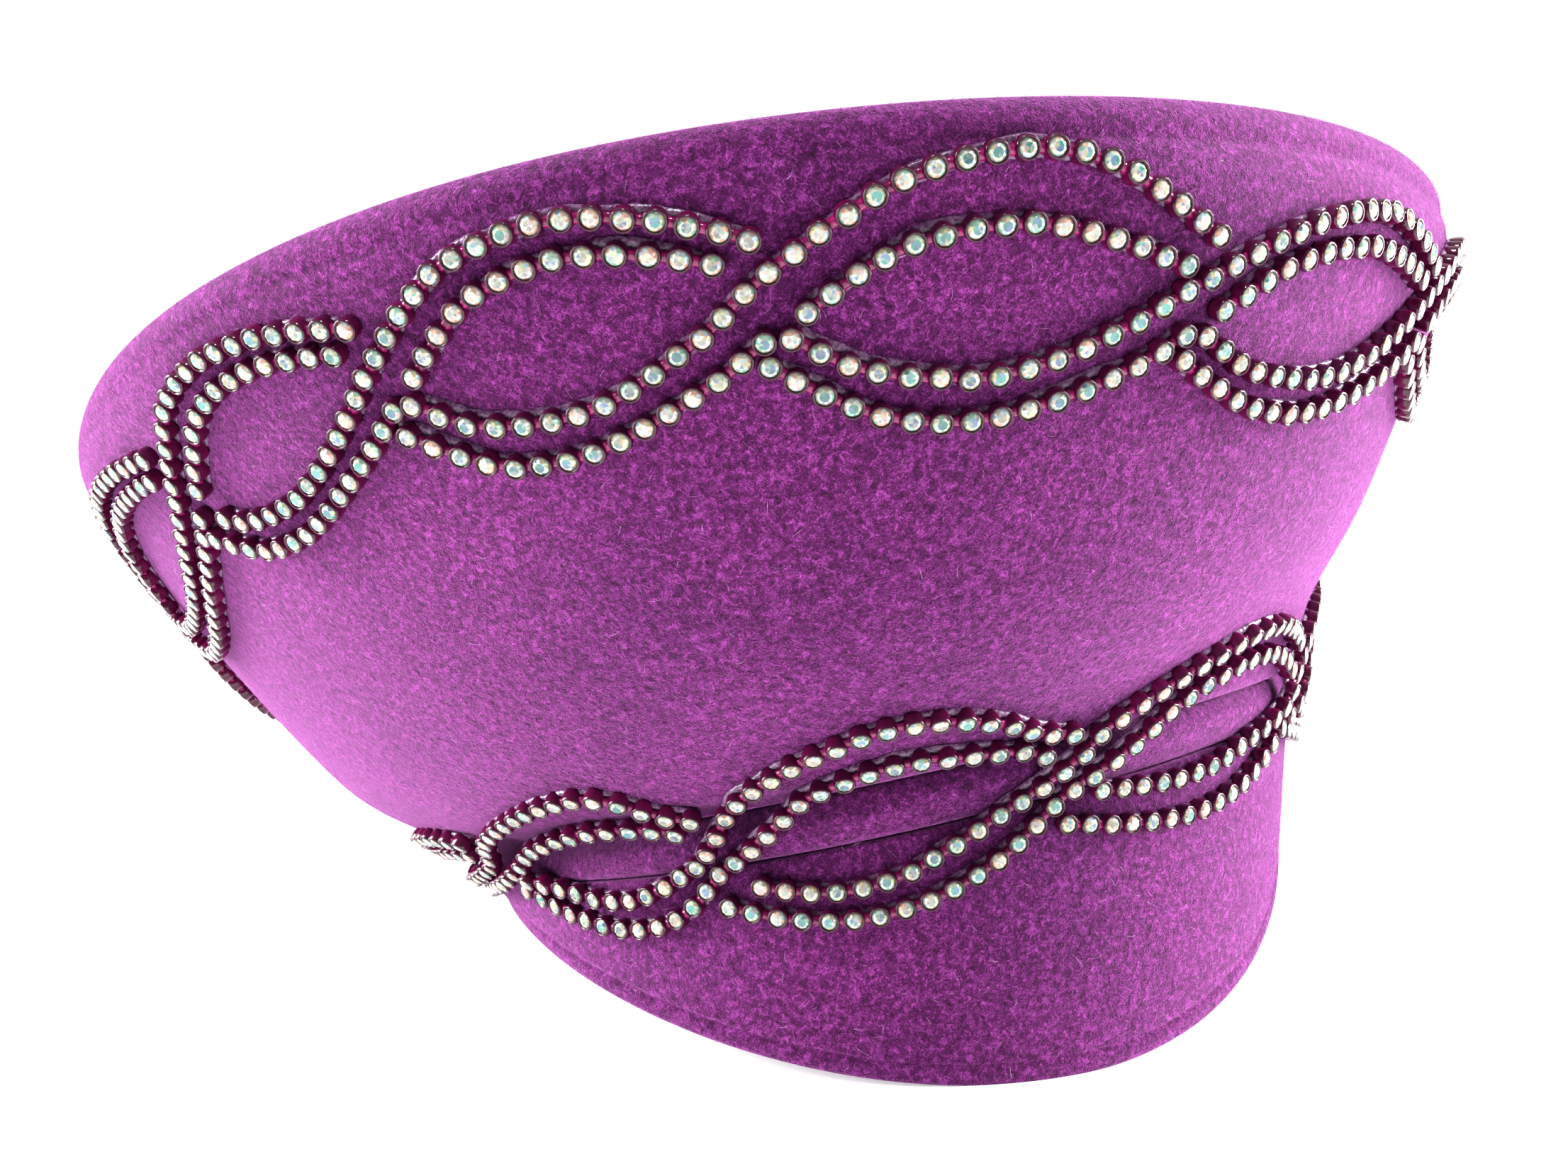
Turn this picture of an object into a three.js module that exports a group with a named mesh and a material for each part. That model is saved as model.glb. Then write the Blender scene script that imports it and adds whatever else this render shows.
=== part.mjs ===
// A tall felt hat: a flared crown with a turned upper hem, a rounded band, a visor-like brim that is
// deepest at the front right, and two garlands of rhinestone banding.
//
// Millimetres, +Z up, -Y to the front. The hat stands on the edge of its brim as it would by itself,
// leaning back, and the origin is the middle of its footprint box on the surface that it stands on.

import * as THREE from "three";

const { degToRad } = THREE.MathUtils;

// Felt
const WALL = 2.2;
const GAP = 0.3;
const HEM_HEIGHT = 6.0;
const HEM_THICKNESS = 4.4;
const HEM_GROOVE = 0.5;
const TIP_BELOW_HEM = 8.0;
const TIP_DOME = 3.0;
const BRIM_LEAST_DEPTH = 9.0;
const BRIM_MOST_FLARE = 0.5;
const BRIM_HEM_THICKNESS = 3.4;
const AROUND = 64;

// Rhinestone banding: the strip that carries the stones. Its ends stop short of the rows that they run
// up against.
const STRIP_LIFT = 0.8;
const STRIP_BASE = 3.0;
const STRIP_TOP = 2.4;
const STRIP_HEIGHT = 1.8;
const STRIP_STEPS = 14;
const STRIP_END_CUT = 4.0;
const BAND_BRIDGE = 1.5;
const BRIDGE_START = 0.8;
const BRIDGE_PLACES = 1.3;
const BRIDGED_SHARE = 0.8;

// How the hat stands: turned by LEAN about a level axis, so that its top moves towards LEAN_TOWARDS,
// then moved so that its footprint box is centred and its lowest felt, LOWEST under the middle of the
// crease, is pressed flat by PRESSED
const LEAN = 15.75;
const LEAN_TOWARDS = 136;
const LOWEST = 32.6;
const PRESSED = 0.7;
const SHIFT = [25.3, -17.1, LOWEST - PRESSED];

// The outer surface passes through eight rings, from the brim's edge up to the crown's top edge.
// Each ring is a circle of `radius` about (x, y), drawn out to an oval along x and along the diagonal,
// at `height`, tipped by slopeX and slopeY and bent up and down along x and the diagonal.
const RING_COLUMNS = ["x", "y", "radius", "ovalX", "ovalD", "height", "slopeX", "slopeY", "sagX", "sagD"];
const RING_ROWS = [
  [0.7, 4.9, 93.1, -0.023, 0.051, -11.7, -0.105, 0.383, 2.7, 8.0],
  [0.0, 0.0, 96.0, 0.005, -0.018, 0.0, 0.0, 0.0, 1.1, -1.1],
  [3.0, 0.0, 99.0, -0.02, -0.02, 9.5, 0.02, 0.0, 0.0, 0.0],
  [-3.0, 0.0, 106.9, 0.013, -0.031, 19.4, 0.08, 0.035, 2.0, 3.2],
  [-3.7, -9.5, 121.9, -0.008, -0.04, 39.1, 0.101, -0.016, -1.5, 6.4],
  [-3.4, -17.7, 146.9, -0.034, -0.014, 75.9, 0.067, -0.184, -5.4, 9.9],
  [-6.7, 1.3, 161.1, -0.029, 0.009, 93.5, 0.028, -0.1, -0.5, 6.7],
];
const RINGS = RING_ROWS.map((row) => Object.fromEntries(row.map((value, i) => [RING_COLUMNS[i], value])));
RINGS.push({ ...RINGS[6], radius: RINGS[6].radius - 0.6, height: RINGS[6].height + HEM_HEIGHT });

// Where the last ring under the hem comes nearer to it than HEM_REACH, it slides down the wall, and the
// hem stands out a little more round the front, so that the wall flares evenly up to the hem. MOST_SPEED
// keeps the curve between two rings from swinging out past them.
const HEM_REACH = 14;
const MOST_SPEED = 1.2;
const FRONT_PUSH = 5.5;
const FRONT_DROP = 0.3;
const FRONT_AZIMUTH = -75;
const FRONT_WIDTH = 45;

// How softly the limits on the brim's depth, its flare and the hem's reach set in
const DEPTH_EASE = 4;
const FLARE_EASE = 3;
const REACH_EASE = 3;

// Places along the outer surface, counted in rings
const EDGE = 0;
const CREASE = 1;
const LIP = 2;
const HEM = 6;
const TOP = 7;

// One swag of the upper garland runs from one node to the next but one: a lobe that hangs below the
// node line, then a crest that stands above it. Rows give the way along in nodes and the share of the
// oval's reach there, positive downwards.
const UPPER_ROW_1 = [
  [0.07, 0.3], [0.2, 0.79], [0.35, 0.98], [0.5, 0.99], [0.67, 0.71], [0.8, 0.34], [0.9, 0.0],
  [1.0, -0.21], [1.1, -0.4], [1.2, -0.58], [1.35, -0.82], [1.5, -0.95], [1.65, -1.0], [1.8, -0.91],
  [1.93, -0.74], [2.08, -0.51],
];
const UPPER_ROW_2 = [
  [0.01, 0.43], [0.12, 0.7], [0.26, 0.93], [0.45, 0.98], [0.6, 0.87], [0.75, 0.68], [0.87, 0.48],
  [0.97, 0.28], [1.06, 0.05], [1.12, -0.1], [1.2, -0.37], [1.33, -0.73], [1.5, -0.96], [1.65, -1.0],
  [1.82, -0.84], [2.0, -0.57],
];
const LOWER_ROW_1 = [
  [0.07, 0.44], [0.18, 0.68], [0.3, 0.86], [0.42, 0.95], [0.55, 0.89], [0.63, 0.77], [0.72, 0.6],
  [0.82, 0.38], [0.91, 0.1], [1.0, -0.19], [1.07, -0.36], [1.17, -0.54], [1.28, -0.7], [1.4, -0.85],
  [1.5, -0.93], [1.6, -0.99], [1.72, -0.97], [1.83, -0.87], [1.93, -0.71], [2.04, -0.43],
];
const LOWER_ROW_2 = [
  [0.03, 0.59], [0.2, 0.82], [0.42, 0.98], [0.6, 0.95], [0.75, 0.81], [0.88, 0.6], [0.99, 0.33],
  [1.09, 0.0], [1.17, -0.31], [1.27, -0.56], [1.38, -0.78], [1.5, -0.92], [1.62, -0.97],
  [1.75, -0.9], [1.85, -0.7], [1.93, -0.45],
];

// The nodes that the photograph shows, then equal spaces round the back. Each node starts an oval, and
// its reaches are how far the outer and inner crest stand above and the lobes hang below, in mm. Its
// skew moves the oval's middle on towards the next node.
const NODE_COLUMNS = ["azimuth", "below", "crestOuter", "crestInner", "lobeInner", "lobeOuter", "skew"];
const UPPER_SEEN = [
  [-144.5, 30.0, 20.5, 13.0, 11.0, 17.5, 0],
  [-118.5, 26.5, 21.5, 14.5, 11.0, 18.5, 0],
  [-92.5, 25.0, 25.5, 14.5, 10.0, 17.5, 0],
  [-64.5, 29.0, 18.0, 12.0, 11.0, 17.5, 0],
  [-35.5, 33.0, 20.5, 12.5, 11.0, 17.5, 0],
];
const UPPER_BEHIND = [0, 0, 21.0, 13.0, 10.5, 18.0, 0];
const UPPER_HIDDEN = 8;
const LOWER_SEEN = [
  [-188, -4, 12.0, 6.5, 4.5, 10.0, 0],
  [-146, -9, 22.5, 12.0, 10.0, 15.5, 0.1],
  [-113, -3, 28.0, 18.0, 12.5, 18.0, 0],
  [-73.5, -4.5, 23.0, 15.5, 8.5, 16.5, 0.04],
  [-33, -6, 26.0, 17.0, 7.0, 13.0, 0],
];
const LOWER_BEHIND = [0, -7, 23.0, 13.5, 5.0, 11.0, 0];
const LOWER_HIDDEN = 3;

const FELT = { color: 0x7d2382, roughness: 0.95, metalness: 0.0 };
const TRIM = { color: 0xb8307a, roughness: 0.25, metalness: 0.0 };

function ringPoint(ring, angle) {
  const cos2 = Math.cos(2 * angle);
  const sin2 = Math.sin(2 * angle);
  const out = ring.radius * (1 + ring.ovalX * cos2 + ring.ovalD * sin2);
  const x = out * Math.cos(angle);
  const y = out * Math.sin(angle);
  const z = ring.height + ring.slopeX * x + ring.slopeY * y + ring.sagX * cos2 + ring.sagD * sin2;
  return new THREE.Vector3(ring.x + x, ring.y + y, z);
}

// What is above zero, with a rounded start
function eased(value, ease) {
  return 0.5 * (value + Math.hypot(value, ease));
}

// The ring points at one angle, from the brim's edge to the top. The brim keeps its least depth and
// doesn't flare past the crease. A bridged section skips the hollow over the band, as the banding does.
function section(angle, bridged) {
  const points = RINGS.map((ring) => ringPoint(ring, angle));
  const over = points[CREASE].z - points[EDGE].z - BRIM_LEAST_DEPTH;
  points[EDGE].z = points[CREASE].z - BRIM_LEAST_DEPTH - eased(over, DEPTH_EASE);
  const level = points[EDGE].clone().sub(points[CREASE]);
  const flare = level.x * Math.cos(angle) + level.y * Math.sin(angle) - BRIM_MOST_FLARE;
  const pulled = -eased(flare, FLARE_EASE);
  points[EDGE].x += pulled * Math.cos(angle);
  points[EDGE].y += pulled * Math.sin(angle);
  const near = HEM_REACH - (points[HEM].z - points[HEM - 1].z);
  const slide = points[HEM - 1].clone().sub(points[HEM - 2]).normalize();
  points[HEM - 1].addScaledVector(slide, -eased(near, REACH_EASE));
  const turn = Math.abs(((angle * 180) / Math.PI - FRONT_AZIMUTH + 540) % 360 - 180) / FRONT_WIDTH;
  const push = turn < 1 ? FRONT_PUSH * Math.cos((turn * Math.PI) / 2) ** 2 : 0;
  for (const point of [points[HEM], points[TOP]]) {
    point.add(new THREE.Vector3(push * Math.cos(angle), push * Math.sin(angle), -push * FRONT_DROP));
  }
  if (bridged) {
    const away = new THREE.Vector3(Math.cos(angle), Math.sin(angle), -0.5).normalize();
    const chord = points[CREASE].clone().lerp(points[LIP + 1], 0.5);
    const hollow = chord.sub(points[LIP]).dot(away);
    points[LIP].addScaledVector(away, BRIDGED_SHARE * Math.max(hollow, 0));
  }
  return points;
}

// The outer surface of the felt: a smooth curve through the ring points at each angle. It leaves each
// point in the direction from the one before to the one after, and no faster than its span allows.
function outer(angle, t, bridged = false) {
  const points = section(angle, bridged);
  const k = Math.min(Math.max(Math.floor(t), 0), points.length - 2);
  const u = t - k;
  const b = points[k];
  const c = points[k + 1];
  const span = b.distanceTo(c);
  const a = points[k - 1] ?? b.clone().multiplyScalar(2).sub(c);
  const d = points[k + 2] ?? c.clone().multiplyScalar(2).sub(b);
  const leave = c.clone().sub(a).multiplyScalar(0.5).clampLength(0, MOST_SPEED * span);
  const arrive = d.clone().sub(b).multiplyScalar(0.5).clampLength(0, MOST_SPEED * span);
  const point = b.clone().multiplyScalar(1 - 3 * u * u + 2 * u * u * u);
  point.addScaledVector(c, 3 * u * u - 2 * u * u * u);
  point.addScaledVector(leave, u * (1 - u) * (1 - u));
  point.addScaledVector(arrive, -u * u * (1 - u));
  return point;
}

function outward(angle, t, bridged = false) {
  const step = 0.01;
  const low = Math.max(t - step, EDGE);
  const high = Math.min(t + step, TOP);
  const along = outer(angle + step, t, bridged).sub(outer(angle - step, t, bridged));
  const up = outer(angle, high, bridged).sub(outer(angle, low, bridged));
  return along.cross(up).normalize();
}

// A point at place t, moved out of the surface by `out` and straight up by `raise`
function felt(angle, t, out = 0, raise = 0) {
  const point = outer(angle, t).addScaledVector(outward(angle, t), out);
  point.z += raise;
  return point;
}

// A point of the band: `share` of the way from the crease to the lip, moved sideways by `out`
function band(angle, share, out, raise = 0) {
  const point = outer(angle, CREASE + share);
  point.x += out * Math.cos(angle);
  point.y += out * Math.sin(angle);
  point.z += raise;
  return point;
}

const lean = new THREE.Matrix4().makeRotationAxis(
  new THREE.Vector3(-Math.sin(degToRad(LEAN_TOWARDS)), Math.cos(degToRad(LEAN_TOWARDS)), 0),
  degToRad(LEAN),
);
const standing = new THREE.Matrix4().makeTranslation(...SHIFT).multiply(lean);

// Rows of points, each a ring of the same count, joined to a closed skin
function skin(rows, closedRound, pressed = false) {
  const count = rows[0].length;
  const positions = [];
  for (const point of rows.flat()) {
    const placed = point.clone().applyMatrix4(standing);
    positions.push(placed.x, placed.y, pressed ? Math.max(placed.z, 0) : placed.z);
  }
  const index = [];
  const bands = closedRound ? rows.length : rows.length - 1;
  for (let r = 0; r < bands; r += 1) {
    const next = (r + 1) % rows.length;
    for (let i = 0; i < count; i += 1) {
      const a = r * count + i;
      const b = r * count + ((i + 1) % count);
      const c = next * count + ((i + 1) % count);
      const d = next * count + i;
      index.push(a, b, c, a, c, d);
    }
  }
  return { positions, index, count };
}

function geometry({ positions, index }) {
  const made = new THREE.BufferGeometry();
  made.setAttribute("position", new THREE.Float32BufferAttribute(positions, 3));
  made.setIndex(index);
  made.computeVertexNormals();
  return made;
}

// A wall of revolution that isn't round: `profile` lists places round its section, each a function of
// the angle, going up the outside and down the inside
function wall(profile, pressed) {
  const rows = profile.map((place) => {
    const row = [];
    for (let i = 0; i < AROUND; i += 1) {
      row.push(place((i / AROUND) * Math.PI * 2));
    }
    return row;
  });
  return geometry(skin(rows, true, pressed));
}

function crown() {
  const lipInset = 5.0;
  return wall([
    (a) => band(a, 1, -0.5),
    (a) => felt(a, 2.2),
    (a) => felt(a, 2.6),
    (a) => felt(a, 3),
    (a) => felt(a, 3.5),
    (a) => felt(a, 4),
    (a) => felt(a, 4.5),
    (a) => felt(a, 5),
    (a) => felt(a, 5.5),
    (a) => felt(a, below(a, HEM, 1.2)),
    (a) => felt(a, HEM, -HEM_GROOVE),
    (a) => felt(a, 6.25, 0.2),
    (a) => felt(a, 6.8, 0.1),
    (a) => felt(a, TOP, -HEM_THICKNESS / 3, 0.6),
    (a) => felt(a, TOP, (-HEM_THICKNESS * 2) / 3, 0.6),
    (a) => felt(a, 6.8, -HEM_THICKNESS),
    (a) => felt(a, HEM, -HEM_THICKNESS),
    (a) => felt(a, below(a, HEM, 1.2), -WALL),
    (a) => felt(a, 5.5, -WALL),
    (a) => felt(a, 5.25, -WALL),
    (a) => felt(a, 5, -WALL),
    (a) => felt(a, 4.7, -WALL),
    (a) => felt(a, 4.3, -WALL),
    (a) => felt(a, 3.6, -WALL),
    (a) => felt(a, 3, -WALL),
    (a) => felt(a, 2.4, -WALL),
    (a) => band(a, 1, -lipInset, WALL),
    (a) => band(a, 1, -lipInset - 0.4),
  ]);
}

function feltBand() {
  return wall([
    (a) => band(a, 0, -3.4, GAP / 2),
    (a) => band(a, 0, -0.8, GAP / 2),
    (a) => band(a, 0.12, 0.5),
    (a) => band(a, 0.3, 1.0),
    (a) => band(a, 0.5, 0.6),
    (a) => band(a, 0.74, -0.9),
    (a) => band(a, 1, -3.2, -GAP),
    (a) => band(a, 1, -6.2, -GAP),
    (a) => band(a, 0.5, -4.6),
  ]);
}

function brim() {
  const under = -GAP / 2;
  return wall([
    (a) => felt(a, EDGE, -BRIM_HEM_THICKNESS),
    (a) => felt(a, EDGE, -0.4),
    (a) => felt(a, 0.03, 0.2),
    (a) => felt(a, 0.09, -0.4),
    (a) => felt(a, 0.25),
    (a) => felt(a, 0.45),
    (a) => felt(a, 0.65),
    (a) => felt(a, 0.82, 0.1),
    (a) => felt(a, 0.94, -0.1),
    (a) => band(a, 0, -0.6, under),
    (a) => band(a, 0, -3.0, under),
    (a) => felt(a, 0.7, -WALL),
    (a) => felt(a, 0.5, -WALL),
    (a) => felt(a, 0.35, -WALL),
    (a) => felt(a, 0.12, -WALL),
    (a) => felt(a, 0.09, -BRIM_HEM_THICKNESS),
  ], true);
}

// The tip is a slightly domed disc, held by its edge inside the crown
function crownTip() {
  const shares = [1, 0.66, 0.33];
  const top = [];
  const bottom = [];
  const middle = new THREE.Vector3();
  for (let i = 0; i < AROUND; i += 1) {
    const angle = (i / AROUND) * Math.PI * 2;
    middle.addScaledVector(outer(angle, below(angle, HEM, TIP_BELOW_HEM)), 1 / AROUND);
  }
  for (const share of shares) {
    const upper = [];
    const lower = [];
    for (let i = 0; i < AROUND; i += 1) {
      const angle = (i / AROUND) * Math.PI * 2;
      const inset = -WALL - 3 * GAP;
      const edge = felt(angle, below(angle, HEM, TIP_BELOW_HEM), inset);
      const foot = felt(angle, below(angle, HEM, TIP_BELOW_HEM + WALL), inset);
      const rise = TIP_DOME * (1 - share * share);
      upper.push(middle.clone().lerp(edge, share).add(new THREE.Vector3(0, 0, rise)));
      lower.push(middle.clone().lerp(edge, share).add(new THREE.Vector3(0, 0, rise - WALL)));
      if (share === 1) {
        lower[i] = foot;
      }
    }
    top.push(upper);
    bottom.unshift(lower);
  }
  const made = skin([...bottom, ...top], false);
  const inner = (made.positions.length / 3) - AROUND;
  const peak = middle.clone().add(new THREE.Vector3(0, 0, TIP_DOME)).applyMatrix4(standing);
  const hollow = middle.clone().add(new THREE.Vector3(0, 0, TIP_DOME - WALL)).applyMatrix4(standing);
  made.positions.push(peak.x, peak.y, peak.z, hollow.x, hollow.y, hollow.z);
  for (let i = 0; i < AROUND; i += 1) {
    const next = (i + 1) % AROUND;
    made.index.push(inner + i, inner + next, inner + AROUND);
    made.index.push(next, i, inner + AROUND + 1);
  }
  return geometry(made);
}

// The place that lies `distance` below place t along the surface
function below(angle, t, distance) {
  const step = 0.02;
  const way = distance > 0 ? -step : step;
  let left = Math.abs(distance);
  let here = outer(angle, t, true);
  let place = t;
  while (left > 0 && place + way >= EDGE && place + way <= TOP) {
    const next = outer(angle, place + way, true);
    const length = next.distanceTo(here);
    const share = Math.min(1, left / length);
    place += way * share;
    left -= length;
    here = next;
  }
  return place;
}

// How far the banding stands off the surface: it bridges the hollow between the brim and the crown
function standOff(t) {
  const share = (t - BRIDGE_START) / BRIDGE_PLACES;
  const bridge = share > 0 && share < 1 ? BAND_BRIDGE * Math.sin(Math.PI * share) : 0;
  return STRIP_LIFT + bridge;
}

// The route of one row of a swag that starts at node k of a garland
function route(garland, k, row) {
  const { nodes, place, rows } = garland;
  const table = rows[row];
  const corners = table.map(([way, share]) => {
    const at = nodes[(k + Math.floor(way)) % nodes.length];
    const after = nodes[(k + Math.floor(way) + 1) % nodes.length];
    const even = way - Math.floor(way);
    const part = even + at.skew * Math.sin(Math.PI * even);
    const turn = (after.azimuth - at.azimuth + 360) % 360;
    const line = at.below + (after.below - at.below) * part;
    const down = row === 0 ? nodes[k].lobeInner : nodes[k].lobeOuter;
    const next = nodes[(k + 1) % nodes.length];
    const up = row === 0 ? next.crestOuter : next.crestInner;
    const distance = line + share * (share > 0 ? down : up);
    const angle = degToRad(at.azimuth + turn * part);
    return new THREE.Vector3(angle, distance, 0);
  });
  const scale = garland.radius;
  const curve = new THREE.CatmullRomCurve3(
    corners.map((corner) => new THREE.Vector3(unwrapped(corner.x, corners[0].x) * scale, corner.y, 0)),
    false,
    "centripetal",
  );
  const cut = STRIP_END_CUT / curve.getLength();
  return Array.from({ length: STRIP_STEPS + 1 }, (_, i) => {
    const point = curve.getPointAt(cut + ((1 - 2 * cut) * i) / STRIP_STEPS);
    const angle = point.x / scale;
    const t = below(angle, place, point.y);
    const out = outward(angle, t, true);
    const base = outer(angle, t, true).addScaledVector(out, standOff(t));
    return { base, out };
  });
}

function unwrapped(angle, first) {
  return angle < first - 1e-6 ? angle + Math.PI * 2 : angle;
}

function strip(points) {
  const rows = points.map(({ base, out }, i) => {
    const before = points[Math.max(i - 1, 0)].base;
    const after = points[Math.min(i + 1, points.length - 1)].base;
    const side = out.clone().cross(after.clone().sub(before)).normalize();
    const across = (width, high) => base.clone().addScaledVector(side, width / 2).addScaledVector(out, high);
    return [
      across(-STRIP_BASE, 0),
      across(STRIP_BASE, 0),
      across(STRIP_TOP, STRIP_HEIGHT),
      across(-STRIP_TOP, STRIP_HEIGHT),
    ];
  });
  const made = skin(rows, false);
  const end = (rows.length - 1) * 4;
  made.index.push(0, 3, 2, 0, 2, 1);
  made.index.push(end, end + 1, end + 2, end, end + 2, end + 3);
  return geometry(made);
}

function nodesOf(seen, hidden, behind) {
  const named = (row) => Object.fromEntries(row.map((value, i) => [NODE_COLUMNS[i], value]));
  const nodes = seen.map(named);
  const last = nodes[nodes.length - 1];
  const space = (nodes[0].azimuth + 360 - last.azimuth) / (hidden + 1);
  for (let i = 1; i <= hidden; i += 1) {
    const level = last.below + ((nodes[0].below - last.below) * i) / (hidden + 1);
    const like = named(behind);
    nodes.push({ ...like, azimuth: last.azimuth + space * i, below: like.below || level });
  }
  return nodes;
}

const upper = {
  name: "upper_swag",
  nodes: nodesOf(UPPER_SEEN, UPPER_HIDDEN, UPPER_BEHIND),
  place: HEM,
  rows: [UPPER_ROW_1, UPPER_ROW_2],
  radius: 138,
};
const lower = {
  name: "lower_swag",
  nodes: nodesOf(LOWER_SEEN, LOWER_HIDDEN, LOWER_BEHIND),
  place: CREASE,
  rows: [LOWER_ROW_1, LOWER_ROW_2],
  radius: 97,
};

const hat = new THREE.Group();

function add(name, shape, look) {
  const mesh = new THREE.Mesh(shape, new THREE.MeshStandardMaterial(look));
  mesh.name = name;
  hat.add(mesh);
}

add("crown", crown(), FELT);
add("crown_tip", crownTip(), FELT);
add("felt_band", feltBand(), FELT);
add("brim", brim(), FELT);
for (const garland of [upper, lower]) {
  garland.nodes.forEach((_, k) => {
    const number = String(k + 1).padStart(2, "0");
    add(`${garland.name}_${number}_row_1`, strip(route(garland, k, 0)), TRIM);
    add(`${garland.name}_${number}_row_2`, strip(route(garland, k, 1)), TRIM);
  });
}

export default hat;
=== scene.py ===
"""Looks of a tall felt hat with two garlands of rhinestone banding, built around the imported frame.

Each felt piece is a smooth closed wall through the same eight rings as the CAD model, covered with short
nap. Each row of banding is a chain of plastic cups on bars, every cup holds a facetted stone, and a film
of dried glue holds the row to the felt. Shapes are worked out in millimetres with the crease level, then
leaned as the hat stands and brought to metres.
"""

import math

import bpy
import numpy as np
from mathutils import Matrix, Vector


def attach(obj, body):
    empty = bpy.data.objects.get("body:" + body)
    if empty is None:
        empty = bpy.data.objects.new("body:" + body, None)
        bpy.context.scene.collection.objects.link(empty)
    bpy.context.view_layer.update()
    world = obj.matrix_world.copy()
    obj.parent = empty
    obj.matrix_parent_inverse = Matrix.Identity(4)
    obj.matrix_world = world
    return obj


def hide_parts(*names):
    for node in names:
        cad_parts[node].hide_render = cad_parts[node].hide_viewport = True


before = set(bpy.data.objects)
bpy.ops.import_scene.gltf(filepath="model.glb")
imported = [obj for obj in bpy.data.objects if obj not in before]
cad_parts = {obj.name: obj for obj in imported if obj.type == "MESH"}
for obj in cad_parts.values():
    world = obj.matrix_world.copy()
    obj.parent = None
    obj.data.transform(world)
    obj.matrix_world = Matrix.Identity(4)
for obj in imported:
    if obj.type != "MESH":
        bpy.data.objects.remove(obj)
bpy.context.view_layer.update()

# How the hat stands
MM = 0.001
LEAN = math.radians(15.75)
LEAN_TOWARDS = math.radians(136)
SHIFT = (25.3, -17.1, 31.9)
LEANING = np.array(Matrix.Rotation(LEAN, 3, Vector((-math.sin(LEAN_TOWARDS), math.cos(LEAN_TOWARDS), 0))))

# Felt, in millimetres
WALL = 2.2
GAP = 0.3
HEM_HEIGHT = 6.0
HEM_THICKNESS = 4.4
TIP_BELOW_HEM = 8.0
TIP_DOME = 3.0
BRIM_LEAST_DEPTH = 9.0
BRIM_MOST_FLARE = 0.5
BRIM_HEM_THICKNESS = 3.4
AROUND = 256
DENT_DEPTH = 0.45
SOFTEN_ROUNDS = 2
ROWS_EACH = 2**SOFTEN_ROUNDS

# First and last section rows of the parts that nap covers: the crown as far as the inside of its hem,
# the band's roll, and the brim
CROWN_OUTSIDE = (0, 43)
BAND_OUTSIDE = (3, 10)
BRIM_OUTSIDE = (1, 25)

# The rings that the outer surface passes through, from the brim's edge up to the crown's top edge
RING_COLUMNS = ("x", "y", "radius", "oval_x", "oval_d", "height", "slope_x", "slope_y", "sag_x", "sag_d")
RING_ROWS = [
    (0.7, 4.9, 93.1, -0.023, 0.051, -11.7, -0.105, 0.383, 2.7, 8.0),
    (0.0, 0.0, 96.0, 0.005, -0.018, 0.0, 0.0, 0.0, 1.1, -1.1),
    (3.0, 0.0, 99.0, -0.02, -0.02, 9.5, 0.02, 0.0, 0.0, 0.0),
    (-3.0, 0.0, 106.9, 0.013, -0.031, 19.4, 0.08, 0.035, 2.0, 3.2),
    (-3.7, -9.5, 121.9, -0.008, -0.04, 39.1, 0.101, -0.016, -1.5, 6.4),
    (-3.4, -17.7, 146.9, -0.034, -0.014, 75.9, 0.067, -0.184, -5.4, 9.9),
    (-6.7, 1.3, 161.1, -0.029, 0.009, 93.5, 0.028, -0.1, -0.5, 6.7),
    (-6.7, 1.3, 160.5, -0.029, 0.009, 99.5, 0.028, -0.1, -0.5, 6.7),
]
EDGE, CREASE, LIP, HEM, TOP = 0, 1, 2, 6, 7
HEM_REACH = 14.0
MOST_SPEED = 1.2
FRONT_PUSH = 5.5
FRONT_DROP = 0.3
FRONT_AZIMUTH = -75.0
FRONT_WIDTH = 45.0
BRIDGED_SHARE = 0.8
DEPTH_EASE = 4.0
FLARE_EASE = 3.0
REACH_EASE = 3.0

# Rhinestone banding, in millimetres
STRIP_LIFT = 0.8
BAND_BRIDGE = 1.5
BRIDGE_START = 0.8
BRIDGE_PLACES = 1.3
ROUTE_STEPS = 8
PITCH = 4.79
CLOSEST_STONES = 3.7
CUP_RADIUS = 2.12
CUP_HEIGHT = 2.9
CUP_SUNK = 0.65
CUP_SIDES = 12
# Painted glow through the plastic for each ring of a cup's faces, from the foot up and over the rim, then for
# both caps
CUP_PAINTED_GLOW = (0.45, 0.3, 0.15, 0.0, 0.0, 0.0, 0.1)
STONE_RADIUS = 1.54
STONE_SEAT = 2.3
EIGHTHS = 8
FACETS_EACH = 5
BAR_HALF_WIDTH = 1.05
BAR_HALF_HEIGHT = 0.85
BAR_MIDDLE = 1.5

# One swag, as the way along in nodes and the share of the oval's reach there, positive downwards
UPPER_ROW_1 = [
    (0.07, 0.3), (0.2, 0.79), (0.35, 0.98), (0.5, 0.99), (0.67, 0.71), (0.8, 0.34), (0.9, 0.0),
    (1.0, -0.21), (1.1, -0.4), (1.2, -0.58), (1.35, -0.82), (1.5, -0.95), (1.65, -1.0), (1.8, -0.91),
    (1.93, -0.74), (2.08, -0.51),
]
UPPER_ROW_2 = [
    (0.01, 0.43), (0.12, 0.7), (0.26, 0.93), (0.45, 0.98), (0.6, 0.87), (0.75, 0.68), (0.87, 0.48),
    (0.97, 0.28), (1.06, 0.05), (1.12, -0.1), (1.2, -0.37), (1.33, -0.73), (1.5, -0.96), (1.65, -1.0),
    (1.82, -0.84), (2.0, -0.57),
]
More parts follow.
